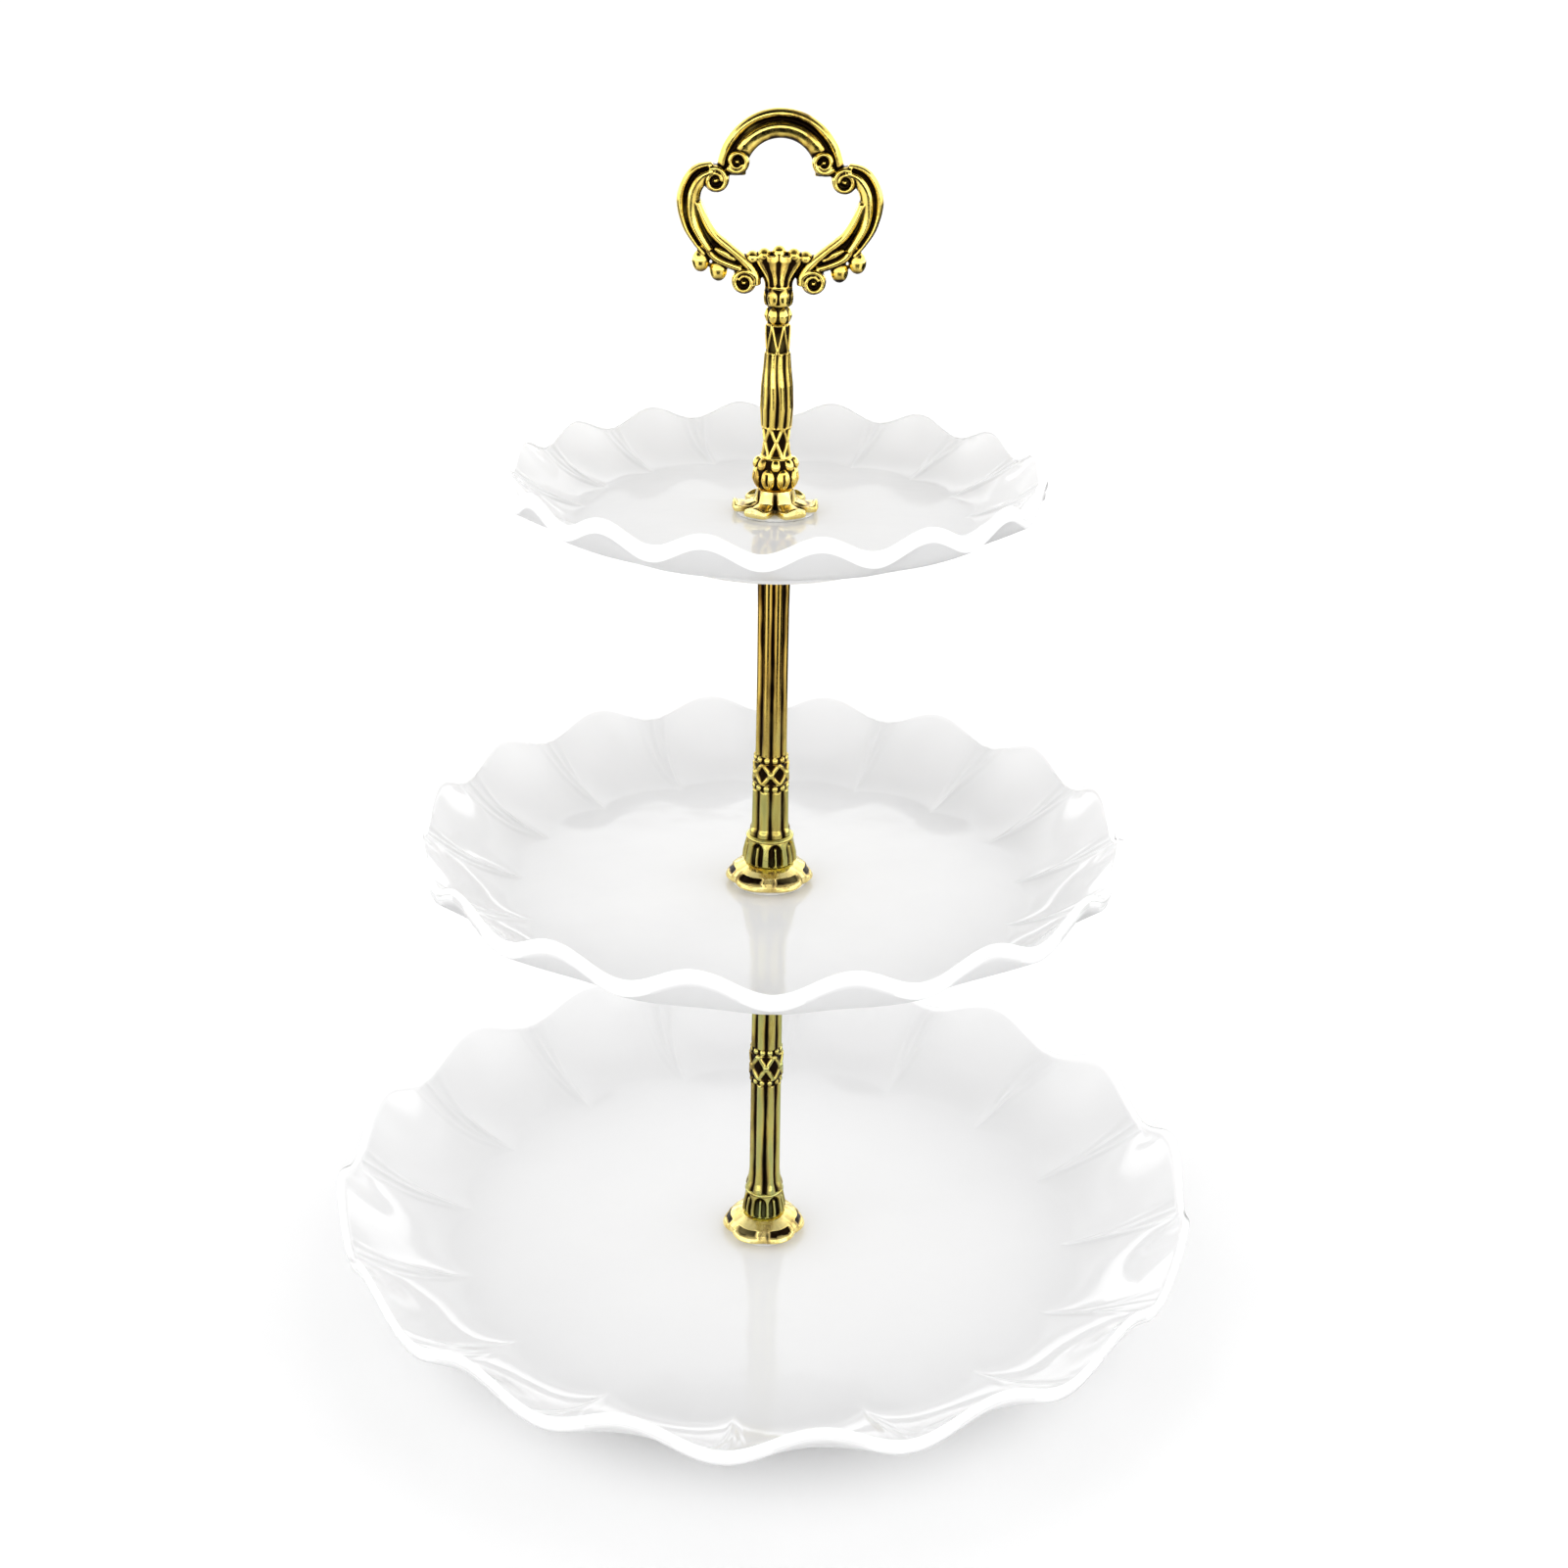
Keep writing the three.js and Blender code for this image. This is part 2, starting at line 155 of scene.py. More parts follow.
def band(value, low, high, soft=0.35):
    """1 between low and high and 0 outside, with soft ends."""
    return smooth(low, low + soft, value) * (1 - smooth(high - soft, high, value))


def nearest(value, period):
    """The signed distance to the nearest whole multiple of a period."""
    return (value + period / 2) % period - period / 2


def dome(across, along):
    """A round cushion: 1 at its middle and 0 from its edge, where hypot(across, along) is 1."""
    return np.sqrt(np.clip(1 - across**2 - along**2, 0.0, 1.0))


def reeds(angle, count):
    """1 on the crest of each convex reed and 0 in the groove between two. A groove lies at the front."""
    return np.abs(np.sin(count * (angle - FRONT) / 2))


def along(place, stops):
    """The value at each place on the straight lines between (place, value) stops."""
    return np.interp(place, *np.array(stops).T)


def curve_through(points, count):
    """As many [a, b] points as the count, on a smooth curve through all the given ones."""
    p = np.array(points, float)
    p = np.vstack([2 * p[0] - p[1], p, 2 * p[-1] - p[-2]])
    spans = len(points) - 1
    t = np.linspace(0, spans, count)
    i = np.minimum(t.astype(int), spans - 1)
    f = (t - i)[:, None]
    a, b, c, d = p[i], p[i + 1], p[i + 2], p[i + 3]
    square = 2 * a - 5 * b + 4 * c - d
    cube = 3 * b - a - 3 * c + d
    return 0.5 * (2 * b + (c - a) * f + square * f**2 + cube * f**3)


def rounded(points, radius):
    """An outline of [radius, height] corners with each corner turned into a small arc of four points."""
    p = np.array(points, float)
    rows = []
    for before, corner, after in zip(np.roll(p, 1, 0), p, np.roll(p, -1, 0)):
        to_before, to_after = before - corner, after - corner
        reach = min(radius, np.linalg.norm(to_before) / 2.1, np.linalg.norm(to_after) / 2.1)
        start = corner + to_before / np.linalg.norm(to_before) * reach
        end = corner + to_after / np.linalg.norm(to_after) * reach
        for t in np.linspace(0, 1, 4):
            rows.append((1 - t) ** 2 * start + 2 * t * (1 - t) * corner + t**2 * end)
    return np.array(rows)


# ---- Mesh helpers ----

def placed(name, data):
    """An object of some mesh, light or camera data, in the scene."""
    obj = bpy.data.objects.new(name, data)
    bpy.context.scene.collection.objects.link(obj)
    return obj


def finished(name, points, faces, masks, material, body):
    """A smooth object of points in mm, with its point masks, in place of the CAD node of its name."""
    mesh = bpy.data.meshes.new(name)
    mesh.from_pydata((np.asarray(points) * MM).tolist(), [], faces)
    for mask, values in masks.items():
        layer = mesh.attributes.new(mask, "FLOAT", "POINT")
        layer.data.foreach_set("value", np.ascontiguousarray(values, np.float32).ravel())
    solid = bmesh.new()
    solid.from_mesh(mesh)
    bmesh.ops.remove_doubles(solid, verts=solid.verts, dist=1e-7)
    bmesh.ops.recalc_face_normals(solid, faces=solid.faces)
    solid.to_mesh(mesh)
    solid.free()
    mesh.shade_smooth()
    mesh.set_sharp_from_angle(angle=math.radians(50))
    mesh.materials.append(material)
    obj = placed(name, mesh)
    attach(obj, body)
    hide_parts(name)
    return obj


def grid_faces(rows, columns, wraps):
    """Quads between neighbouring rows of a grid whose columns go all the way round."""
    row = np.arange(rows if wraps else rows - 1)[:, None]
    column = np.arange(columns)[None, :]
    next_row = (row + 1) % rows
    next_column = (column + 1) % columns
    corners = (row * columns + column, row * columns + next_column,
               next_row * columns + next_column, next_row * columns + column)
    return np.stack(np.broadcast_arrays(*corners), -1).reshape(-1, 4).tolist()


def tube_faces(rows, columns):
    """The faces of a pile of rings that is closed at both ends."""
    faces = grid_faces(rows, columns, False)
    faces.append(tuple(range(columns)))
    faces.append(tuple(reversed(range((rows - 1) * columns, rows * columns))))
    return faces


def turned(name, radius, height, angle, masks, material, body, wraps=True):
    """A closed piece from grids of radius and height. With wraps, the last row joins the first."""
    radius, height, angle = np.broadcast_arrays(radius, height, angle[None, :])
    points = np.stack([radius * np.cos(angle), radius * np.sin(angle), height], -1).reshape(-1, 3)
    masks = {mask: np.broadcast_to(values, radius.shape) for mask, values in masks.items()}
    faces = grid_faces(*radius.shape, wraps)
    return finished(name, points, faces, masks, material, body)


def angles(columns):
    """Evenly spaced angles all the way round, one for each column of a grid."""
    return np.linspace(0, TURN, columns, endpoint=False)


def base_height(node):
    """The height in mm of the lowest point of a CAD node."""
    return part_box(node)[0].z / MM


def top_height(node):
    """The height in mm of the highest point of a CAD node."""
    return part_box(node)[1].z / MM


# ---- Materials ----

class Nodes:
    """A material's node tree, with short calls for the nodes that the materials here use."""

    def __init__(self, name):
        self.material = bpy.data.materials.new(name)
        self.material.use_nodes = True
        self.tree = self.material.node_tree
        self.shader = self.tree.nodes["Principled BSDF"]
        self.place = self.tree.nodes.new("ShaderNodeTexCoord").outputs["Object"]

    def link(self, source, target):
        self.tree.links.new(source, target)

    def mask(self, name):
        """A mask that the meshes hold at their points, 0 on a mesh without it."""
        node = self.tree.nodes.new("ShaderNodeAttribute")
        node.attribute_name = name
        return node.outputs["Fac"]

    def noise(self, scale, detail=3.0, stretch=(1, 1, 1)):
        mapping = self.tree.nodes.new("ShaderNodeMapping")
        mapping.inputs["Scale"].default_value = stretch
        self.link(self.place, mapping.inputs["Vector"])
        node = self.tree.nodes.new("ShaderNodeTexNoise")
        node.inputs["Scale"].default_value = scale
        node.inputs["Detail"].default_value = detail
        self.link(mapping.outputs["Vector"], node.inputs["Vector"])
        return node.outputs["Fac"]

    def span(self, value, low, high):
        """The value, taken from 0..1 to low..high."""
        node = self.tree.nodes.new("ShaderNodeMapRange")
        node.inputs["To Min"].default_value = low
        node.inputs["To Max"].default_value = high
        self.link(value, node.inputs["Value"])
        return node.outputs["Result"]

    def height(self, top):
        """Height over the table as a share of the top, which is in metres."""
        axes = self.tree.nodes.new("ShaderNodeSeparateXYZ")
        self.link(self.place, axes.inputs["Vector"])
        node = self.tree.nodes.new("ShaderNodeMapRange")
        node.inputs["From Max"].default_value = top
        self.link(axes.outputs["Z"], node.inputs["Value"])
        return node.outputs["Result"]

    def plus(self, first, second):
        """The sum of two values, held between 0 and 1."""
        node = self.tree.nodes.new("ShaderNodeMath")
        node.operation = "ADD"
        node.use_clamp = True
        self.link(first, node.inputs[0])
        self.link(second, node.inputs[1])
        return node.outputs["Value"]

    def ramp(self, value, *stops):
        """Colours by position along 0..1, as (position, (red, green, blue)) stops."""
        node = self.tree.nodes.new("ShaderNodeValToRGB")
        elements = node.color_ramp.elements
        while len(elements) < len(stops):
            elements.new(0.5)
        for element, (position, colour) in zip(elements, stops):
            element.position = position
            element.color = (*colour, 1)
        self.link(value, node.inputs["Fac"])
        return node.outputs["Color"]

    def mix(self, share, first, second):
        """The first colour where the share is 0 and the second where it is 1."""
        node = self.tree.nodes.new("ShaderNodeMix")
        node.data_type = "RGBA"
        self.link(share, node.inputs["Factor"])
        for source, socket in ((first, node.inputs[6]), (second, node.inputs[7])):
            if isinstance(source, tuple):
                socket.default_value = (*source, 1)
            else:
                self.link(source, socket)
        return node.outputs[2]

    def bump(self, value, strength, distance):
        node = self.tree.nodes.new("ShaderNodeBump")
        node.inputs["Strength"].default_value = strength
        node.inputs["Distance"].default_value = distance
        self.link(value, node.inputs["Height"])
        self.link(node.outputs["Normal"], self.shader.inputs["Normal"])


def glaze_material():
    """White porcelain with a gloss glaze: painted light makes it paler low on the stand and a painted
    highlight paler on the rim, painted shade makes it greyer outside and in the creases and hollow petals,
    and it is duller outside and bare under the foot."""
    n = Nodes("white_glaze")
    drift = n.ramp(n.noise(22), (0.3, (0.715, 0.715, 0.717)), (0.7, (0.745, 0.745, 0.747)))
    # painted light: paler on the bottom plate, against the shade that the plates above cast on it
    painted_light_low = n.mix(n.span(n.height(0.1), 0.6, 0.0), drift, (0.80, 0.80, 0.804))
    outside = n.mask("outside")
    # painted shade: greyer on the outer wall, the belly and the underside
    painted_shade_outside = n.mix(outside, painted_light_low, (0.625, 0.625, 0.627))
    # painted shade: greyer in the creases and the hollow petals
    painted_shade_hollows = n.mix(n.mask("recess"), painted_shade_outside, (0.60, 0.60, 0.605))
    # painted highlight: whiter along the rim's lip
    rim = n.mix(n.mask("crest"), painted_shade_hollows, (0.92, 0.92, 0.918))
    clay = n.ramp(n.noise(900, 5), (0.3, (0.60, 0.585, 0.55)), (0.7, (0.70, 0.685, 0.65)))
    bare = n.mask("bare")
    n.link(n.mix(bare, rim, clay), n.shader.inputs["Base Color"])
    shine = n.span(n.noise(60), 0.05, 0.10)
    duller = n.plus(n.span(bare, 0, 0.6), n.span(outside, 0, 0.35))
    n.link(n.plus(shine, duller), n.shader.inputs["Roughness"])
    n.shader.inputs["Specular IOR Level"].default_value = 0.36
    n.bump(n.noise(75, 2), 0.12, 0.0012)
    return n.material


def gold_material():
    """Bright gilt casting whose hollows are brown and nearly black, from tarnish and from painted shade. It
    is darker amber and olive towards the bottom of the stem, and only the flanges stay pale there."""
    n = Nodes("antique_gold")
    streaks = n.span(n.noise(320, 2, stretch=(1, 1, 0.16)), -0.75, 1.05)
    # tarnish in the hollows together with painted shade in the hollows and under the bars, plus upright
    # streaks and random tone
    tarnish_and_shade = n.plus(n.mask("recess"), n.plus(streaks, n.span(n.noise(260, 4), -0.08, 0.10)))
    colour = n.ramp(
        tarnish_and_shade,
        (0.0, (1.0, 0.79, 0.20)),
        (0.24, (0.80, 0.54, 0.08)),
        (0.48, (0.32, 0.16, 0.02)),
        (0.75, (0.05, 0.018, 0.004)),
        (1.0, (0.010, 0.005, 0.002)),
    )
    # darker amber and olive towards the bottom of the stem
    darker_low = n.ramp(
        n.height(0.3),
        (0.05, (0.38, 0.42, 0.16)),
        (0.55, (0.46, 0.44, 0.14)),
        (0.68, (0.68, 0.46, 0.11)),
        (0.80, (0.76, 0.52, 0.12)),
        (0.90, (1.0, 0.79, 0.20)),
    )
    # the flanges keep the pale gold
    surface = n.mix(n.mask("keeps_pale"), darker_low, (1.0, 0.84, 0.34))
    patches = n.span(n.noise(70, 2), -0.4, 0.5)
    n.link(n.mix(n.plus(tarnish_and_shade, patches), surface, colour), n.shader.inputs["Base Color"])
    n.shader.inputs["Metallic"].default_value = 1.0
    roughness = n.plus(n.span(n.noise(500, 3), 0.10, 0.2), n.span(tarnish_and_shade, 0, 0.25))
    n.link(roughness, n.shader.inputs["Roughness"])
    n.bump(n.noise(900, 4), 0.16, 0.0002)
    return n.material


def steel_material():
    """Zinc-plated steel with fine marks round its turned faces."""
    n = Nodes("plated_steel")
    marks = n.noise(400, 4, stretch=(1, 1, 9))
    colour = n.ramp(marks, (0.3, (0.50, 0.51, 0.53)), (0.75, (0.72, 0.73, 0.74)))
    n.link(colour, n.shader.inputs["Base Color"])
    n.shader.inputs["Metallic"].default_value = 1.0
    n.link(n.span(marks, 0.24, 0.42), n.shader.inputs["Roughness"])
    n.bump(marks, 0.15, 0.0001)
    return n.material


def gasket_material():
    """Milky silicone sheet, a little dusty."""
    n = Nodes("silicone")
    dust = n.noise(500, 5)
    colour = n.ramp(dust, (0.3, (0.70, 0.70, 0.68)), (0.8, (0.80, 0.80, 0.78)))
    n.link(colour, n.shader.inputs["Base Color"])
    n.link(n.span(dust, 0.42, 0.62), n.shader.inputs["Roughness"])
    n.shader.inputs["Subsurface Weight"].default_value = 0.1
    n.shader.inputs["Subsurface Radius"].default_value = (0.001, 0.001, 0.001)
    n.bump(dust, 0.2, 0.0001)
    return n.material


def floor_material():
    """A nearly white floor without gloss."""
    n = Nodes("pale_floor")
    colour = n.ramp(n.noise(3, 2), (0.2, (0.96, 0.96, 0.96)), (0.8, (0.985, 0.985, 0.985)))
    n.link(colour, n.shader.inputs["Base Color"])
    n.link(n.span(n.noise(9), 0.55, 0.65), n.shader.inputs["Roughness"])
    n.shader.inputs["Specular IOR Level"].default_value = 0.0
    return n.material


# ---- Plates ----

def lobe_columns():
    """Angles round a plate before it is turned, closer together near the valleys, where the creases are."""
    step = (np.arange(COLUMNS_PER_LOBE) + 0.5) / COLUMNS_PER_LOBE * 2 - 1
    across = np.sign(step) * (0.35 * np.abs(step) + 0.65 * np.abs(step) ** 2) / 2
    valleys = np.arange(LOBES)[:, None]
    return ((valleys + across[None, :]) * TURN / LOBES + FRONT).ravel()


def lobe_at(angle):
    """How far out on a lobe an angle is: 0 in a valley and 1 at the lobe's tip."""
    return (1 - np.cos(LOBES * (angle - FRONT))) / 2


def crease_relief(angle, reach, share):
    """Height of the ribs and grooves that fan out along each valley, from the wall's foot to the rim, and
    the painted shade in the grooves.
    """
    across = nearest(angle - FRONT, TURN / LOBES) * reach
    valley = np.round((angle - FRONT) * LOBES / TURN)
    lively = np.sin(2.4 * valley)
    size = reach / 110
    middle = (1.3 + 0.9 * lively) * size * np.sin(math.pi * np.clip(share, 0, 1))
    spread = size * (0.5 + (4.2 + 0.8 * lively) * np.clip(share, 0, 1) ** 1.3)
    fade = smooth(0.04, 0.4, share) * (1 - 0.4 * smooth(0.8, 1.0, share))
    height = 0
    for k, strength in CREASE_RIBS.items():
        height = height + strength * np.exp(-(((across - middle - k * spread) / RIB_WIDTH) ** 2))
    inside = np.exp(-(((across - middle) / (spread + 1.2)) ** 4))
    groove = inside * (1 - np.clip(height, 0, 1))
    return fade * (RIB_HEIGHT * height - CREASE_DEPTH * groove), fade * groove


def plate_outline(radius, rim):
    """Rows along a plate's outline: radius, height, and 1 inside, 0 on the lip or -1 outside."""
    well = radius * WELL
    foot = radius * FOOT_SHARE
    foot_inside = foot - FOOT_WIDTH
    under = FLOOR_OVER_FOOT - FLOOR_THICKNESS
    top = FLOOR_OVER_FOOT + rim
    floor = top - rim
    wall = np.linspace(0, 0.965, 40)
    lip = np.radians(np.linspace(150, -70, 12))
    outer = np.linspace(0.95, 0.0, 24)
    belly = np.linspace(0, 1, 9)[1:]
    parts = [
        # the wall of the hole and the well
        ([HOLE_RADIUS, HOLE_RADIUS, HOLE_RADIUS + 0.4], [under + 0.4, floor - 0.4, floor], 1),
        (np.linspace(HOLE_RADIUS + 0.8, well * 0.985, 12), np.full(12, FLOOR_OVER_FOOT), 1),
        # the inside of the wall, the lip and the outside of the wall
        (well + (radius - well) * wall, FLOOR_OVER_FOOT + rim * wall**WALL_POWER, 1),
        (radius - 0.2 + BEAD_RADIUS * np.cos(lip), top - BEAD_RADIUS * 0.7 + BEAD_RADIUS * np.sin(lip), 0),
        (well + (radius - well) * outer + 1.6 * outer,
         FLOOR_OVER_FOOT + rim * outer**WALL_POWER - RIM_THICKNESS, -1),
        # the belly down to the foot, the foot and the underside
        (well + (foot + 1.2 - well) * belly, FLOOR_OVER_FOOT - RIM_THICKNESS - 3.4 * belly**2.2, -1),
        ([foot + 0.5, foot, foot - 0.5], [3.0, 0.7, 0.0], -1),
        ([foot_inside + 0.6, foot_inside, foot_inside - 1.4], [0, 0.7, under - 0.8], -1),
        (np.linspace(foot_inside - 3, HOLE_RADIUS + 0.4, 8), np.full(8, under), -1),
    ]
    reach = np.concatenate([p[0] for p in parts])
    height = np.concatenate([p[1] for p in parts])
    side = np.concatenate([np.full(len(p[0]), p[2]) for p in parts])
    return reach, height, side


def plate(tier_name, material):
    """A scalloped plate: concave petals between ribbed creases, a round lip, and a foot ring."""
    tier = TIERS[tier_name]
    name = f"{tier_name}_plate"
    radius, rim = tier["radius"], tier["rim"]
    angle = lobe_columns()
    reach, height, side = (rows[:, None] for rows in plate_outline(radius, rim))
    well = radius * WELL
    lobe = lobe_at(angle)[None, :]
    share = np.clip((reach - well) / (radius - well), 0, 1.02)
    inside, outside = side == 1, side == -1

    # The wall starts farther out behind a lobe than behind a valley, so its foot line is scalloped.
    petal = np.abs(np.sin(LOBES * (angle - FRONT) / 2))[None, :] ** 0.6
    late = 0.16 * petal
    petal_share = np.clip((share - late) / (1 - late), 0, 1.02)
    height = height + np.where(inside, rim * (petal_share**WALL_POWER - share**WALL_POWER), 0)

    scoop = petal**2 * np.sin(math.pi * np.clip(petal_share, 0, 1)) ** 1.3
    scoop_depth = np.where(inside, SCOOP_DEPTH["inside"], np.where(outside, SCOOP_DEPTH["outside"], 0))
    height = height - scoop * scoop_depth * rim / USUAL_RIM
    crease, groove = crease_relief(angle[None, :], reach, np.clip(share / 0.97, 0, 1))
    height = height + np.where(inside, crease * (0.6 + 0.4 * rim / USUAL_RIM), 0)

    wave = (lobe - 0.5) * share**2
    reach = reach + radius * RIM_SCALLOP * wave
    height = height + radius * RIM_WAVE * wave

    # the "recess" mask holds painted shade in the creases and hollow petals, "crest" a painted highlight on
    # the lip, and "outside" the outer faces that the glaze greys as painted shade
    masks = {
        "recess": np.where(inside, np.clip(groove * 0.08 + 0.10 * scoop, 0, 1), 0),
        "crest": np.where(side == 0, 1.0, 0.0),
        "bare": np.where(outside & (height < 0.5), 1.0, 0.0),
        "outside": np.where(outside, 1.0, 0.0),
    }
    angle = angle + math.radians(tier["turn"])
    turned(name, reach, height + base_height(name), angle, masks, material, tier["body"])


# ---- Stem ----

def arches(across, height, half_width, spring, foot):
    """1 deep inside a round-headed niche and 0 outside it, with a soft edge."""
    over = np.maximum(height - spring, 0)
    edge = np.hypot(across, over) - half_width
    return smooth(0.15, -0.45, edge) * smooth(foot, foot + 0.4, height)


def lattice(angle, height, low, high):
    """Two crossing sets of six ribbons that make an X at the front: 1 on a ribbon and 0 between them."""
    up = (height - low) / (high - low) - 0.5
    across = (angle - FRONT) * 6 / TURN
    width = 0.13
    first = np.abs(nearest(across - up, 1.0))
    second = np.abs(nearest(across + up, 1.0))
    return 1 - smooth(width * 0.4, width * 1.7, np.minimum(first, second))


def chevrons(angle, height, low, high):
    """Six leaf tips that point down, one at the front: 1 on a tip's edge and 0 beside it."""
    up = (height - low) / (high - low)
    across = np.abs(nearest((angle - FRONT) * 6 / TURN, 1.0)) * 2
    width = 0.15
    return 1 - smooth(width * 0.5, width * 2.2, np.abs(across - up))


def bead_row(angle, height, at, radius, count, ring, tall=1.0, start=FRONT):
    """Round or oval beads at one height on a ring of the given radius: 1 at a bead's middle."""
    across = nearest(angle - start - math.pi / count, TURN / count) * ring
    return dome(across / radius, (height - at) / (radius * tall))


def bored_rod(name, height, radius, shade, top_bore, material):
    """A rod of radii on a grid of heights and 160 angles, bored to a depth at its top and at its foot."""
    bottom, length = base_height(name), top_height(name) - base_height(name)
    bore = [(BORE_RADIUS + 0.2, length), (BORE_RADIUS, length - 0.2), (BORE_RADIUS, length - top_bore),
            (0, length - top_bore - 1)]
    foot_bore = [(0, ROD_BORE_DEPTH + 1), (BORE_RADIUS, ROD_BORE_DEPTH), (BORE_RADIUS, 0.2),
                 (BORE_RADIUS + 0.2, 0)]
    bore, foot_bore = np.array(bore), np.array(foot_bore)
    plain = np.ones((1, radius.shape[1]))
    rows = np.vstack([foot_bore[:, :1] * plain, radius, bore[:, :1] * plain])
    heights = np.vstack([foot_bore[:, 1:], height, bore[:, 1:]])
    # painted shade inside the bores at both ends
    edges = np.array([[BORE_SHADE], [BORE_SHADE], [BORE_SHADE], [0.5]]) * plain
    masks = {"recess": np.vstack([edges, np.clip(shade, 0, 1), edges[::-1]])}
    turned(name, rows, heights + bottom, angles(160), masks, material, "stem", wraps=False)


def long_rod(name, outline, lattice_band, material):
    """A reeded rod with a lattice band that is knotted where it crosses, between two rings of beads."""
    length = top_height(name) - base_height(name)
    height = np.linspace(0, length, int(length / 0.28))[:, None]
    angle = angles(160)[None, :]
    low, high = lattice_band
    lace = band(height, low, high, 0.5)
    reed = reeds(angle, REEDS)
    cross = lattice(angle, height, low, high)
    knots = bead_row(angle, height, (low + high) / 2, 1.15, 6, 5.0, start=FRONT - math.pi / 6)
    beads_below = bead_row(angle, height, low - 1.2, 0.9, 12, 5.0)
    beads_above = bead_row(angle, height, high + 1.2, 0.95, 12, 5.0)
    beads = np.maximum(beads_below, beads_above)
    beaded = band(height, low - 2.3, low) + band(height, high, high + 2.3)
    plain = 1 - np.clip(lace + beaded, 0, 1)
    depth = plain * (1 - reed) + lace * 0.75 * (1 - cross) + beaded * 0.7 * (1 - beads)
    radius = along(height, outline) - depth + 0.5 * lace * knots
    # painted shade in the reed grooves, spread wide over the reeds' flanks to stand in for dark
    # reflections, and between the lattice ribbons and the beads
    shade = plain * (1 - reed) ** 1.45 * 1.35
    shade = shade + lace * (1 - cross) * (1 - knots) + beaded * smooth(0.5, 0.1, beads)
    bored_rod(name, height, radius, shade, ROD_BORE_DEPTH, material)


def upper_rod(material):
    """The baluster under the handle: lattice, fluted bulb, leaf band and a bead of ovals."""
    name = "upper_rod"
    height = np.linspace(0, top_height(name) - base_height(name), 170)[:, None]
    angle = angles(160)[None, :]
    lace = band(height, 0.2, 8.4, 0.5)
    bulb = band(height, 8.2, 29.4, 0.8)
    leaf = band(height, 29.2, 36.8, 0.5)
    oval_band = band(height, 37.0, 41.8, 0.3)
    cross = lattice(angle, height, 0.2, 8.6)
    reed = reeds(angle + 0.05 * np.sin(height / 3.2), 10)
    tips = chevrons(angle, height, 29.2, 36.8)
    ovals = bead_row(angle, height, 39.4, 1.55, 6, 3.5, tall=1.45)
    depth = lace * 0.7 * (1 - cross) + bulb * 0.65 * (1 - reed)
    depth = depth + leaf * 0.6 * (1 - tips) + oval_band * 0.8 * (1 - ovals)
    # painted shade between the lattice ribbons, the flutes, the leaf tips and the ovals
    shade = lace * (1 - cross) + bulb * 1.3 * (1 - reed) ** 1.1
    shade = shade + leaf * (1 - tips) + oval_band * (1 - smooth(0, 0.5, ovals))
    bored_rod(name, height, along(height, UPPER_ROD) - depth, shade, HANDLE_BORE_DEPTH["rod"], material)


def bored_ring(name, radius, height, shade, angle, material, keeps_pale=0.0):
    """A gilt stem piece with a plain through hole, from rows that run from its bottom edge to its top."""
    bore = BORE_RADIUS + 0.2
    low, high = height[0].mean(), height[-1].mean()
    hole = np.array([[bore, high - 0.2], [bore, low + 0.2]])
    plain = np.ones((1, len(angle)))
    rows = np.vstack([radius, hole[:, :1] * plain])
    heights = np.vstack([height * np.ones_like(radius), hole[:, 1:] * plain]) + base_height(name)
    # painted shade inside the hole
    dark = np.vstack([np.clip(shade, 0, 1) * np.ones_like(radius), plain * BORE_SHADE, plain * BORE_SHADE])
    masks = {"recess": dark, "keeps_pale": np.full_like(dark, keeps_pale)}
    turned(name, rows, heights, angle, masks, material, "stem")


def bell_flange(tier_name, radius, material):
    """A bell of six hollowed petals with a cushion at each foot, between narrow ribs."""
    angle = angles(192)
    petal = np.abs(np.sin(PETALS * (angle - FRONT) / 2))[None, :]
    t = np.linspace(0, 1, 70)[:, None]
    height = along(t, [(0, 0.3), (0.06, 0), (0.14, 0.5), (0.3, 1.8), (0.45, 3.0), (0.62, 4.3), (0.8, 5.3),
                       (0.93, 6.0), (1, 6.0)])
    reach = along(t, [(0, 0.78), (0.06, 0.88), (0.14, 0.95), (0.3, 1.0), (0.45, 0.98), (0.62, 0.88),
                      (0.8, 0.71), (0.93, 0.55), (1, 0.3)])
    cushion = petal**0.8 * np.exp(-(((t - 0.2) / 0.09) ** 2))
    hollow = smooth(0.35, 0.75, petal) * band(t, 0.35, 0.66, 0.09)
    outside = smooth(0.02, 0.14, t) * (1 - smooth(0.8, 0.95, t))
    r = radius * (reach + outside * (0.05 * petal - 0.05)) + 0.9 * cushion - 1.0 * hollow
    groove = 1 - smooth(0.0, 0.2, np.abs(petal - 0.28))
    # painted shade in the petals' hollows, beside the ribs and round the foot where the flange meets the
    # plate
    shade = hollow + 0.5 * groove * outside * band(t, 0.12, 0.8) + 0.5 * (1 - smooth(0.0, 0.1, t))
    bored_ring(f"{tier_name}_flange", r, height, shade, angle, material, keeps_pale=1.0)


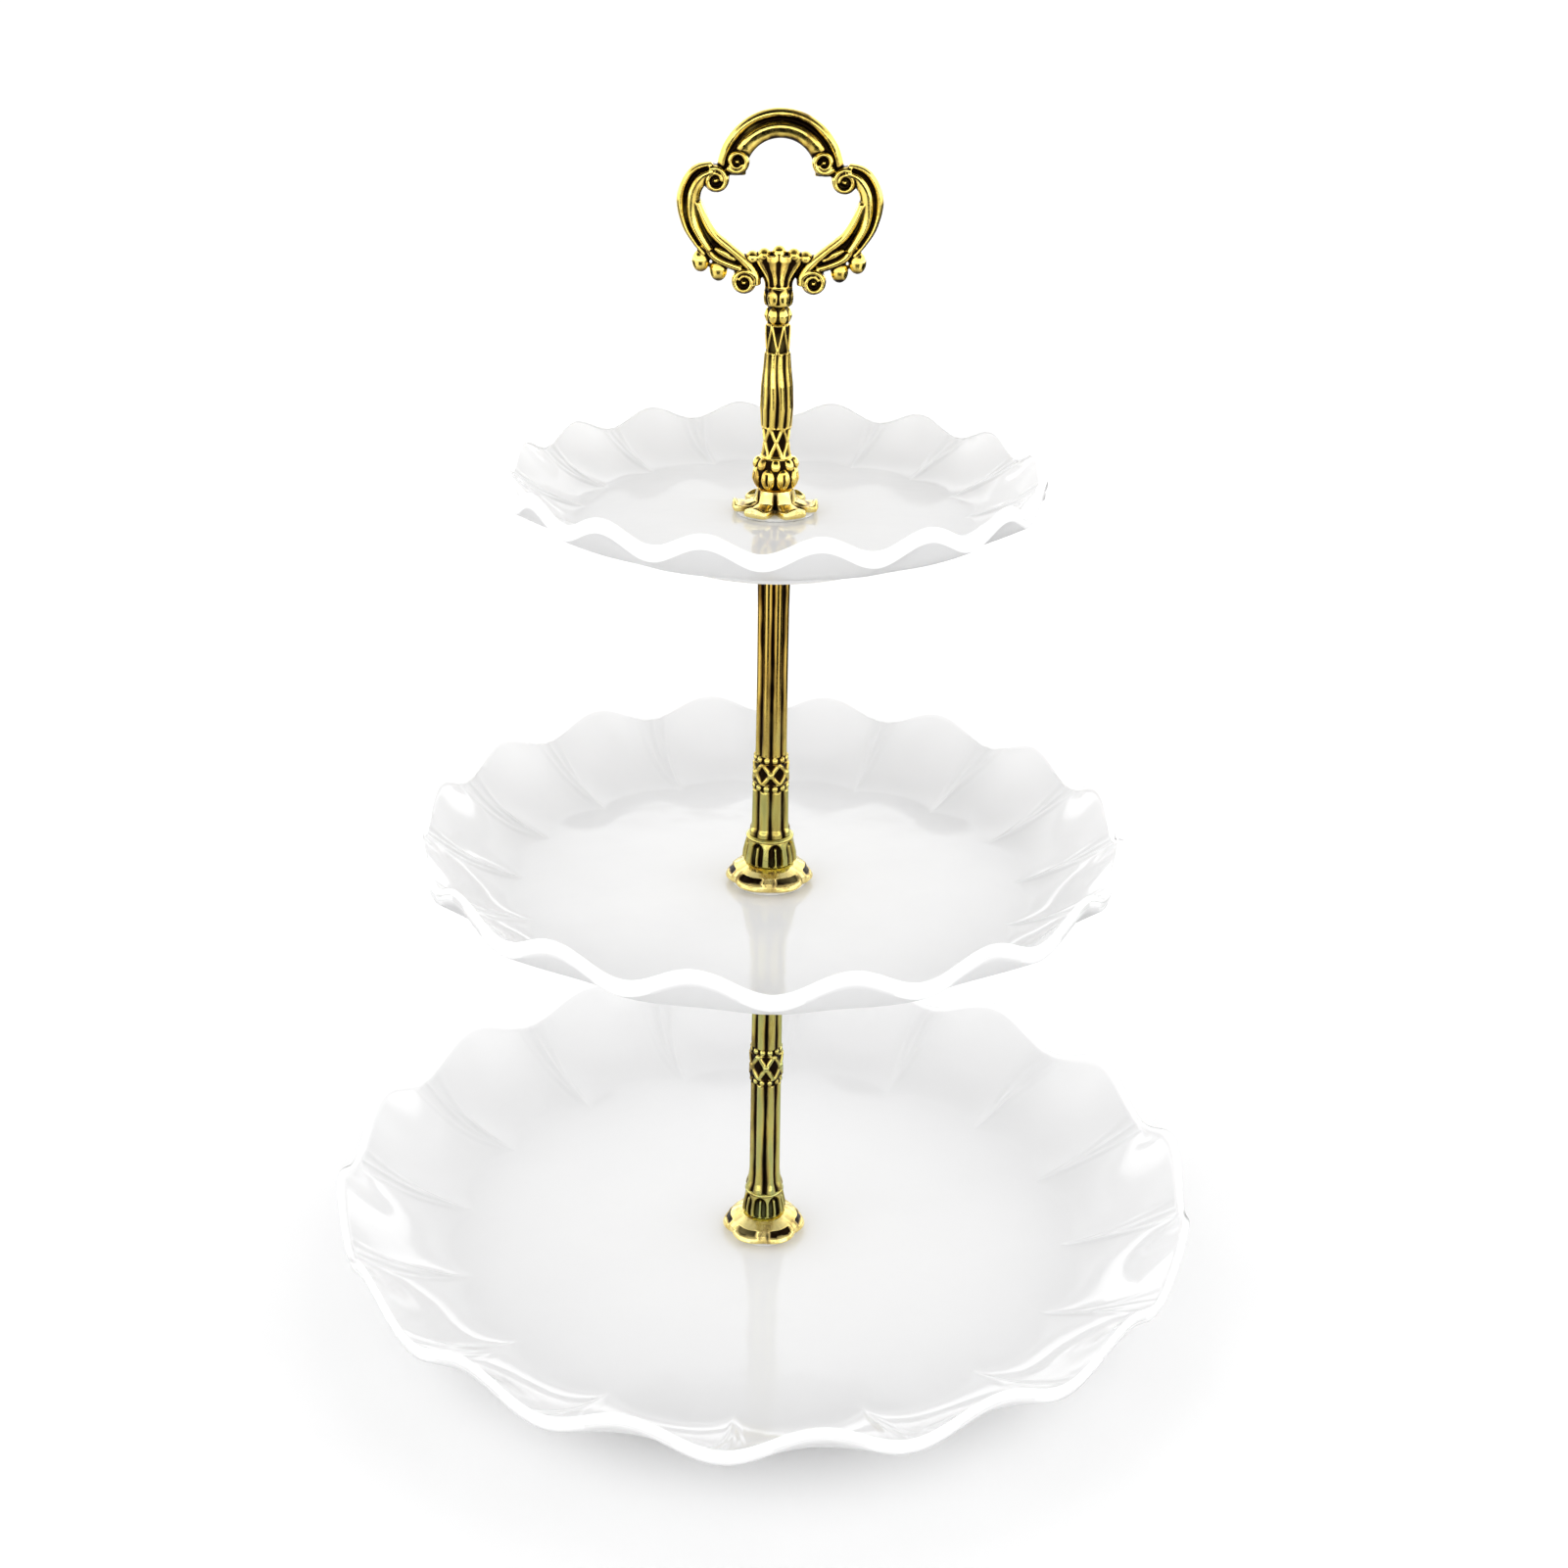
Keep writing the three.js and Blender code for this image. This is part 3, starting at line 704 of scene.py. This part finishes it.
def petal_flange(tier_name, radius, material):
    """Six separate round petals with a knob at each tip, spread flat on the plate."""
    angle = angles(240)
    petal = np.abs(np.sin(PETALS * (angle - FRONT) / 2))[None, :]
    t = np.linspace(0, 1, 70)[:, None]
    height = along(t, [(0, 0.25), (0.06, 0), (0.12, 0.8), (0.2, 1.4), (0.5, 1.6), (0.76, 2.6), (0.93, 6.0),
                       (1, 6.0)])
    reach = along(t, [(0, 0.85), (0.06, 0.97), (0.12, 1.0), (0.2, 0.97), (0.5, 0.76), (0.76, 0.56),
                      (0.93, 0.5), (1, 0.3)])
    outline = 0.62 + 0.44 * smooth(0.1, 0.75, petal) ** 0.8
    blend = smooth(0.95, 0.55, t)
    r = radius * (reach * (outline * blend + (1 - blend) * 0.9))
    knob = petal**3 * np.exp(-(((t - 0.25) / 0.1) ** 2))
    outside = smooth(0.02, 0.14, t) * (1 - smooth(0.85, 0.98, t))
    # painted shade between the petals, and a darker band across the middle of each petal
    between = (1 - smooth(0.1, 0.55, petal)) * outside
    shade = 0.8 * between + 0.5 * np.exp(-(((t - 0.5) / 0.1) ** 2)) * petal
    bored_ring(f"{tier_name}_flange", r, height + 1.5 * knob, shade, angle, material, keeps_pale=1.0)


def collar_rows(radius, shares, foot, top):
    """Radii and heights up a collar, from (height, share of radius) stops and the shares at its ends."""
    height = np.concatenate([[0.3], np.linspace(0, 9, 64), [9.0]])[:, None]
    r = along(height, [(z, radius * share) for z, share in shares])
    r[0], r[-1] = radius * foot, radius * top
    return r, height


def arched_collar(tier_name, radius, turn, material):
    """A drum of arched niches, each with an upright bar, under a plain lip. The turn is in degrees."""
    angle = angles(224)
    shares = [(0, 0.86), (0.8, 1), (3.0, 0.98), (6.5, 0.88), (8.4, 0.82), (9, 0.76)]
    r, z = collar_rows(radius, shares, 0.74, 0.6)
    across = nearest(angle - FRONT - math.radians(turn), TURN / ARCHES)[None, :] * radius
    niche = arches(across, z, 2.3, 5.3, 0.4)
    bar = np.exp(-((across / 0.5) ** 4)) * smooth(6.9, 5.9, z)
    lip = band(z, 8.0, 9.0, 0.3)
    r = r - 1.3 * niche * (1 - 0.8 * bar) + 0.4 * lip
    # painted shade in the niches beside each bar and in a line under the lip
    shade = niche * (1 - bar) + 0.6 * np.exp(-(((z - 7.9) / 0.2) ** 2))
    bored_ring(f"{tier_name}_collar", r, z, shade, angle, material)


def oval_collar(tier_name, radius, material):
    """A barrel of upright ovals with a crown of round beads."""
    angle = angles(224)
    shares = [(0, 0.78), (0.8, 0.9), (3.2, 1), (5.6, 0.96), (7, 0.9), (9, 0.8)]
    r, z = collar_rows(radius, shares, 0.7, 0.58)
    around = angle[None, :]
    ovals = bead_row(around, z, 3.4, 2.3, ARCHES, radius, tall=1.35)
    crown = bead_row(around, z, 7.6, 1.75, ARCHES, radius, start=FRONT + math.pi / ARCHES)
    relief = np.maximum(ovals, crown)
    seam = smooth(0.35, 0.0, relief)
    cleft = np.exp(-((nearest(around - FRONT - math.pi / ARCHES, TURN / ARCHES) * radius / 0.4) ** 2))
    cleft = cleft * band(z, 1.2, 5.4, 0.8)
    r = r - 0.9 * (1 - relief) - 0.5 * cleft + 0.35 * crown
    # painted shade in the seams round the ovals and beads and down the clefts between the ovals
    shade = seam * band(z, 0.2, 9.0, 0.3) + 0.85 * cleft
    bored_ring(f"{tier_name}_collar", r, z, shade, angle, material)


def seat(tier_name, material):
    """The shallow cup under a plate, with a milled edge."""
    name = f"{tier_name}_seat"
    angle = angles(192)
    rows = rounded([(6.0, 0), (11.5, 1.8), (11.5, 2.6), (3.2, 2.6), (3.2, 0)], 0.35)
    radius, height = rows[:, :1], rows[:, 1:]
    edge = smooth(11.0, 11.4, radius)
    mill = np.abs(np.sin(48 * angle / 2))[None, :] * edge
    # painted shade in the grooves of the milled edge, over a slight darkening of the whole seat
    shade = np.clip(0.7 * (1 - mill) * edge + 0.15, 0, 1)
    r = radius - 0.2 * (1 - mill) * edge
    turned(name, r, height + base_height(name), angle, {"recess": shade}, material, "stem")


def washer(name, size, material):
    """A flat ring with rounded edges."""
    outer, thickness = size["radius"], size["thickness"]
    corners = [(WASHER_BORE, 0), (outer, 0), (outer, thickness), (WASHER_BORE, thickness)]
    rows = rounded(corners, min(0.25, thickness * 0.35))
    turned(name, rows[:, :1], rows[:, 1:] + base_height(name), angles(128), {}, material, "stem")


# ---- Threads ----

def threaded_rows(bottom, top, angle):
    """A grid of radii and heights for a screw thread that fades out at both ends, six rows to a pitch."""
    count = int((top - bottom) / THREAD_PITCH * 6)
    height = np.linspace(bottom, top, count)[:, None]
    phase = (height / THREAD_PITCH - angle[None, :] / TURN) % 1.0
    depth = 0.42 * smooth(0.45, 0.05, np.abs(phase - 0.5))
    ends = np.minimum(height - bottom, top - height)
    radius = THREAD_RADIUS - depth - 0.5 * smooth(0.5, 0.0, ends)
    return radius, np.broadcast_to(height, radius.shape)


def stud(name, body, material):
    """A length of threaded rod with bevelled ends."""
    angle = angles(36)
    bottom, top = base_height(name), top_height(name)
    radius, height = threaded_rows(bottom, top, angle)
    tip = np.zeros((1, len(angle)))
    radius = np.vstack([tip, radius, tip])
    height = np.vstack([tip + bottom, height, tip + top])
    turned(name, radius, height, angle, {}, material, body, wraps=False)


def foot_bolt(material):
    """A slotted pan-head machine screw that holds the stem from below."""
    name = "foot_bolt"
    angle = angles(96)
    bottom, top = base_height(name), top_height(name)
    head = curve_through([(0.0, 0.0), (2.6, 0.12), (4.3, 0.75), (5.0, 1.9), (4.95, 2.5)], 22)
    plain = np.ones((1, len(angle)))
    radius, height = threaded_rows(bottom + 3.4, top, angle)
    neck = [(THREAD_RADIUS + 0.1, 2.6), (THREAD_RADIUS, 2.9)]
    rows = np.vstack([head, neck])
    radius = np.vstack([rows[:, :1] * plain, radius, 0 * plain])
    height = np.vstack([(rows[:, 1:] + bottom) * plain, height, top * plain])
    bolt = turned(name, radius, height, angle, {}, material, "stem", wraps=False)
    slot_box = Matrix.Translation((0, 0, bottom * MM)) @ Matrix.Diagonal((12.0 * MM, 1.2 * MM, 2.4 * MM, 1))
    cut(bolt, bmesh.ops.create_cube, size=1.0, matrix=slot_box)


def apply_modifiers(obj):
    """Replaces an object's mesh with the one its modifiers make."""
    evaluated = obj.evaluated_get(bpy.context.evaluated_depsgraph_get())
    made = bpy.data.meshes.new_from_object(evaluated)
    obj.modifiers.clear()
    obj.data = made


def cut(obj, make, **shape):
    """Cuts the solid that a bmesh operator makes out of an object."""
    mesh = bpy.data.meshes.new("cutter")
    solid = bmesh.new()
    make(solid, **shape)
    solid.to_mesh(mesh)
    solid.free()
    cutter = placed("cutter", mesh)
    boolean = obj.modifiers.new("cut", "BOOLEAN")
    boolean.operation = "DIFFERENCE"
    boolean.solver = "EXACT"
    boolean.object = cutter
    apply_modifiers(obj)
    bpy.data.objects.remove(cutter)


# ---- Handle ----

class Castings:
    """A pile of closed meshes in the XZ plane that are melted into one."""

    def __init__(self):
        self.points = []
        self.faces = []

    def add(self, points, faces):
        """One more closed mesh."""
        start = len(self.points)
        self.points.extend(points)
        self.faces.extend([tuple(start + v for v in face) for face in faces])

    def add_both_sides(self, points, faces):
        """The piece and its mirror image on the other side of the handle."""
        self.add(points, faces)
        self.add([(-x, y, z) for x, y, z in points], [tuple(reversed(face)) for face in faces])


def sweep(path, width, depth, groove=0.0, groove_at=0.0, sides=16):
    """An oval bar along [x, z] points. Its two faces have a groove of a share of its depth, at a place
    from -1 to 1 across it."""
    path = np.array(path, float)
    tangent = np.gradient(path, axis=0)
    tangent /= np.linalg.norm(tangent, axis=1)[:, None]
    normal = np.stack([-tangent[:, 1], tangent[:, 0]], 1)
    width = np.broadcast_to(width, len(path))
    depth = np.broadcast_to(depth, len(path))
    turn = angles(sides)
    across = np.cos(turn)
    grooved = 1 - groove * np.exp(-(((across - groove_at) / 0.24) ** 2))
    out = np.sign(np.sin(turn)) * np.abs(np.sin(turn)) ** 0.75 * grooved
    points = []
    for p, n, w, d in zip(path, normal, width, depth):
        for a, b in zip(across, out):
            points.append((p[0] + n[0] * a * w / 2, b * d / 2, p[1] + n[1] * a * w / 2))
    return points, tube_faces(len(path), sides)


def ball(centre, radii):
    """An ellipsoid at an [x, z] place, as points and faces."""
    solid = bmesh.new()
    bmesh.ops.create_uvsphere(solid, u_segments=24, v_segments=14, radius=1.0)
    x, z = centre
    points = [(x + v.co.x * radii[0], v.co.y * radii[1], z + v.co.z * radii[2]) for v in solid.verts]
    faces = [tuple(v.index for v in face.verts) for face in solid.faces]
    solid.free()
    return points, faces


def spiral(centre, outer, inner, start, turns, clockwise):
    """[x, z] points that wind in round a centre, from a start angle in degrees."""
    t = np.linspace(0, 1, 60)
    turn = math.radians(start) + (-1 if clockwise else 1) * TURN * turns * t
    reach = outer + (inner - outer) * t**0.8
    return np.stack([centre[0] + reach * np.cos(turn), centre[1] + reach * np.sin(turn)], 1)


def volute(castings, centre, radius, start, clockwise, proud=1.0):
    """A scroll's curled end on both sides of the handle: a spiral ridge round a button, over a disc."""
    path = spiral(centre, radius - 0.95, 1.5, start, 1.35, clockwise)
    width = np.linspace(2.0, 1.3, len(path))
    castings.add_both_sides(*sweep(path, width, HANDLE_DEPTH * 0.98 * proud))
    castings.add_both_sides(*ball(centre, (radius - 0.8, HANDLE_DEPTH * 0.34, radius - 0.8)))
    castings.add_both_sides(*ball(centre, (1.0, HANDLE_DEPTH * 0.5 * proud, 1.0)))


def ring_pile(turn, height, half_widths, half_depths):
    """A closed pile of oval rings at the given heights, as points and faces."""
    points = []
    for z, w, d in zip(height, half_widths, half_depths):
        points.extend(zip(w * np.cos(turn), d * np.sin(turn), np.full(len(turn), z)))
    return points, tube_faces(len(height), len(turn))


def fan():
    """The fluted leaf between the foot curls, which widens from the boss to the crown."""
    turn = angles(96)
    height = np.linspace(4.4, 13.6, 30)
    t = ((height - 4.4) / (13.6 - 4.4))[:, None]
    flute = 1 - 0.16 * (1 - np.abs(np.sin(6 * (turn - math.pi / 2))))
    return ring_pile(turn, height, (3.9 + 4.6 * smooth(0.15, 1.0, t)) * flute, (3.6 - 0.7 * t) * flute)


def boss():
    """The round boss with six upright ovals, from the rod to the fan."""
    turn = angles(96)
    height = np.linspace(0, 5.4, 24)
    z = height[:, None]
    reach = 3.35 + 0.75 * bead_row(turn, z, 2.4, 1.9, 6, 3.9, tall=1.25) + 0.35 * smooth(4.2, 5.0, z)
    return ring_pile(turn, height, reach, reach)


def handle_castings():
    """All the bars, curls, buds and leaves of the handle, with heights over its base."""
    castings = Castings()
    degrees = np.linspace(-2, 182, 60)
    arch = np.radians(degrees)
    arch_path = np.stack([ARCH["radius"] * np.cos(arch), ARCH["centre"] + ARCH["radius"] * np.sin(arch)], 1)
    # the arch is thinner under its curls, so that they stand out
    arch_depth = HANDLE_DEPTH * (0.68 + 0.32 * smooth(22, 38, 90 - np.abs(degrees - 90)))
    castings.add(*sweep(arch_path, ARCH["width"], arch_depth, groove=0.6, groove_at=-0.28, sides=40))
    volute(castings, ARCH_VOLUTE["centre"], ARCH_VOLUTE["radius"], -30, True, proud=1.1)
    volute(castings, SIDE_VOLUTE["centre"], SIDE_VOLUTE["radius"], 60, False)
    volute(castings, FOOT_VOLUTE["centre"], FOOT_VOLUTE["radius"], 150, True)

    side_width = along(np.linspace(0, 1, 60), [(0, 4.0), (0.2, 6.0), (0.45, 6.4), (0.6, 5.2), (1, 3.6)])
    bean_width = np.sin(np.linspace(0.5, 2.64, 20)) * 2.5
    bars = [
        sweep(curve_through(SIDE_PATH, 60), side_width, HANDLE_DEPTH, groove=0.6, groove_at=0.28, sides=40),
        sweep(curve_through(INNER_PATH, 60), np.linspace(2.2, 2.9, 60), HANDLE_DEPTH * 0.95),
        sweep(curve_through(LOWER_PATH, 30), 2.4, HANDLE_DEPTH * 0.8),
        sweep(curve_through(WEB_PATH, 20), 3.4, HANDLE_DEPTH * 0.35),
        sweep(curve_through(BEAN_PATH, 20), bean_width, HANDLE_DEPTH * 0.85),
    ]
    for points, faces in bars:
        castings.add_both_sides(points, faces)
    for x, z, r in BUDS:
        castings.add_both_sides(*ball((x, z), (r, HANDLE_DEPTH * 0.42, r * 1.25)))

    castings.add(*fan())
    castings.add(*boss())
    for x, z, r in CROWN:
        adder = castings.add_both_sides if x else castings.add
        adder(*ball((x, z), (r, HANDLE_DEPTH * 0.44, r)))
    return castings


def neighbour_mean(points, edges, rounds):
    """Points after some rounds of moving each one to the mean of its neighbours."""
    smoothed = points.copy()
    count = np.bincount(edges.ravel(), minlength=len(points))[:, None]
    for _ in range(rounds):
        total = np.zeros_like(smoothed)
        np.add.at(total, edges[:, 0], smoothed[edges[:, 1]])
        np.add.at(total, edges[:, 1], smoothed[edges[:, 0]])
        smoothed = total / count
    return smoothed


def values_of(items, attribute, width, kind=float):
    """One attribute of a mesh's points or edges, as an array with a row for each."""
    values = np.empty(len(items) * width, kind)
    items.foreach_get(attribute, values)
    return values.reshape(-1, width)


def hollow_shade(mesh, points):
    """Painted shade at each point of the handle: 1 in the hollows and on the underside, where shade falls,
    and 0 on its ridges.
    """
    edges = values_of(mesh.edges, "vertices", 2, int)
    normals = values_of(mesh.vertex_normals, "vector", 3)
    hollow = np.zeros(len(points))
    for rounds in (6, 24):
        sunk = ((neighbour_mean(points, edges, rounds) - points) * normals).sum(1) / MM
        hollow += 0.5 * sunk
    leaf = smooth(6.6, 5.2, np.abs(points[:, 0]) / MM) * band(points[:, 2] / MM, -1.0, 12.4, 0.6)
    # painted shade: darker in the hollows, on the fan and on faces that look down
    shade = smooth(-0.07, 0.14, hollow + 0.09 * leaf) + 0.8 * smooth(-0.3, -0.8, normals[:, 2])
    return np.clip(shade, 0, 1)


def handle(material):
    """The whole handle, melted into one skin, bored for its stud and given painted shade in its hollows and
    underneath.
    """
    name = "handle_ring"
    castings = handle_castings()
    mesh = bpy.data.meshes.new(name)
    mesh.from_pydata((np.array(castings.points) * MM).tolist(), [], castings.faces)
    obj = placed(name, mesh)
    melt = obj.modifiers.new("melt", "REMESH")
    melt.mode = "VOXEL"
    melt.voxel_size = HANDLE_VOXEL * MM
    apply_modifiers(obj)
    cut(obj, bmesh.ops.create_cone, cap_ends=True, segments=48, radius1=BORE_RADIUS * MM,
        radius2=BORE_RADIUS * MM, depth=2 * HANDLE_BORE_DEPTH["handle"] * MM)

    mesh = obj.data
    points = values_of(mesh.vertices, "co", 3)
    shade = hollow_shade(mesh, points)
    points[:, 2] += base_height(name) * MM
    mesh.vertices.foreach_set("co", points.ravel())
    layer = mesh.attributes.new("recess", "FLOAT", "POINT")
    layer.data.foreach_set("value", shade.astype(np.float32))
    mesh.shade_smooth()
    mesh.set_sharp_from_angle(angle=math.radians(60))
    mesh.materials.clear()
    mesh.materials.append(material)
    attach(obj, "handle")
    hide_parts(name)


# ---- Set ----

def sheet(name, corners, material):
    """A flat four-cornered stage piece, in metres."""
    mesh = bpy.data.meshes.new(name)
    mesh.from_pydata(corners, [], [(0, 1, 2, 3)])
    mesh.materials.append(material)
    obj = placed(name, mesh)
    return obj


def flag(name, corners, tone):
    """A card that only glossy surfaces see, like a studio flag. A tone of 0 is black."""
    material = bpy.data.materials.new(name)
    material.use_nodes = True
    shader = material.node_tree.nodes["Principled BSDF"]
    shader.inputs["Base Color"].default_value = (0, 0, 0, 1)
    shader.inputs["Roughness"].default_value = 1.0
    shader.inputs["Specular IOR Level"].default_value = 0.0
    shader.inputs["Emission Color"].default_value = (tone, tone, tone, 1)
    shader.inputs["Emission Strength"].default_value = 1.0
    card = sheet(name, corners, material)
    card.visible_camera = False
    card.visible_diffuse = False
    card.visible_shadow = False
    card.visible_transmission = False


def surroundings():
    """White light all round that falls from the horizon to the zenith, so that it reaches every tier."""
    world = bpy.data.worlds.new("studio")
    world.use_nodes = True
    nodes, links = world.node_tree.nodes, world.node_tree.links
    axes = nodes.new("ShaderNodeSeparateXYZ")
    links.new(nodes.new("ShaderNodeTexCoord").outputs["Generated"], axes.inputs["Vector"])
    fall = nodes.new("ShaderNodeMapRange")
    fall.inputs["To Min"].default_value = HORIZON_LIGHT
    fall.inputs["To Max"].default_value = ZENITH_LIGHT
    links.new(axes.outputs["Z"], fall.inputs["Value"])
    links.new(fall.outputs["Result"], nodes["Background"].inputs["Strength"])
    nodes["Background"].inputs["Color"].default_value = (1, 1, 1, 1)
    bpy.context.scene.world = world


def on_circle(radius, angle):
    """The (x, y) point of a circle round the stand."""
    return radius * math.cos(angle), radius * math.sin(angle)


def flags():
    """The cards that give the gilt its dark streaks and keep the top well from mirroring the horizon."""
    near, far = WEDGE_REACH
    for name, (first, last) in FLAG_WEDGES.items():
        corners = [(near, first), (far, first), (far, last), (near, last)]
        flag(name, [(*on_circle(r, math.radians(degrees)), 0.001) for r, degrees in corners], 0.0)
    cards, low, high = CARD_RING["cards"], CARD_RING["bottom"], CARD_RING["top"]
    reach = CARD_RING["radius"] / math.cos(math.pi / cards)
    for k in range(cards):
        start = on_circle(reach, TURN * k / cards)
        end = on_circle(reach, TURN * (k + 1) / cards)
        corners = [(*start, low), (*end, low), (*end, high), (*start, high)]
        flag(f"flag_round_{k}", corners, CARD_RING["tone"])
    flag("flag_above", [(-1.3, -1.0, 1.3), (1.3, -1.0, 1.3), (1.3, 0.1, 1.3), (-1.3, 0.1, 1.3)], 0.0)


def stage():
    """The floor, the white surroundings and the cards."""
    size = 30.0
    corners = [(-size, -size, 0), (size, -size, 0), (size, size, 0), (-size, size, 0)]
    sheet("floor", corners, floor_material())
    surroundings()
    flags()


def aimed(name, data, place, target):
    """A light or camera at a place, looking at a target."""
    obj = placed(name, data)
    obj.location = place
    obj.rotation_mode = "QUATERNION"
    obj.rotation_quaternion = (Vector(target) - Vector(place)).to_track_quat("-Z", "Y")
    return obj


def lights():
    """Three weak area lights, for highlights."""
    for name, place, size, power in LIGHTS:
        light = bpy.data.lights.new(name, "AREA")
        light.size = size
        light.energy = power
        aimed(name, light, place, LIGHT_TARGET)


def camera():
    """The camera looks down at the stand from the front, with a slight roll."""
    data = bpy.data.cameras.new("camera")
    for setting, value in CAMERA_LENS.items():
        setattr(data, setting, value)
    obj = aimed("camera", data, CAMERA["place"], CAMERA["target"])
    roll = Matrix.Rotation(CAMERA["roll"], 3, "Z")
    obj.rotation_quaternion = (obj.rotation_quaternion.to_matrix() @ roll).to_quaternion()
    bpy.context.scene.camera = obj


# ---- The whole stand ----

bpy.context.scene.view_settings.view_transform = "Standard"
camera()
stage()
lights()

glaze, gold, steel, silicone = glaze_material(), gold_material(), steel_material(), gasket_material()

for tier_name in TIERS:
    plate(tier_name, glaze)
    for place_name in ("above", "below"):
        washer(f"{tier_name}_gasket_{place_name}", GASKET, silicone)
washer("foot_washer", FOOT_WASHER, steel)
bell_flange("bottom", 12.6, gold)
bell_flange("middle", 12.6, gold)
petal_flange("top", 11.6, gold)
arched_collar("bottom", 7.0, -12.0, gold)
arched_collar("middle", 8.2, 14.0, gold)
oval_collar("top", 6.9, gold)
seat("middle", gold)
seat("top", gold)
long_rod("lower_rod", LOWER_ROD, LOWER_LATTICE, gold)
long_rod("middle_rod", MIDDLE_ROD, MIDDLE_LATTICE, gold)
upper_rod(gold)
stud("lower_stud", "stem", steel)
stud("upper_stud", "stem", steel)
stud("handle_stud", "handle_screw", steel)
foot_bolt(steel)
handle(gold)
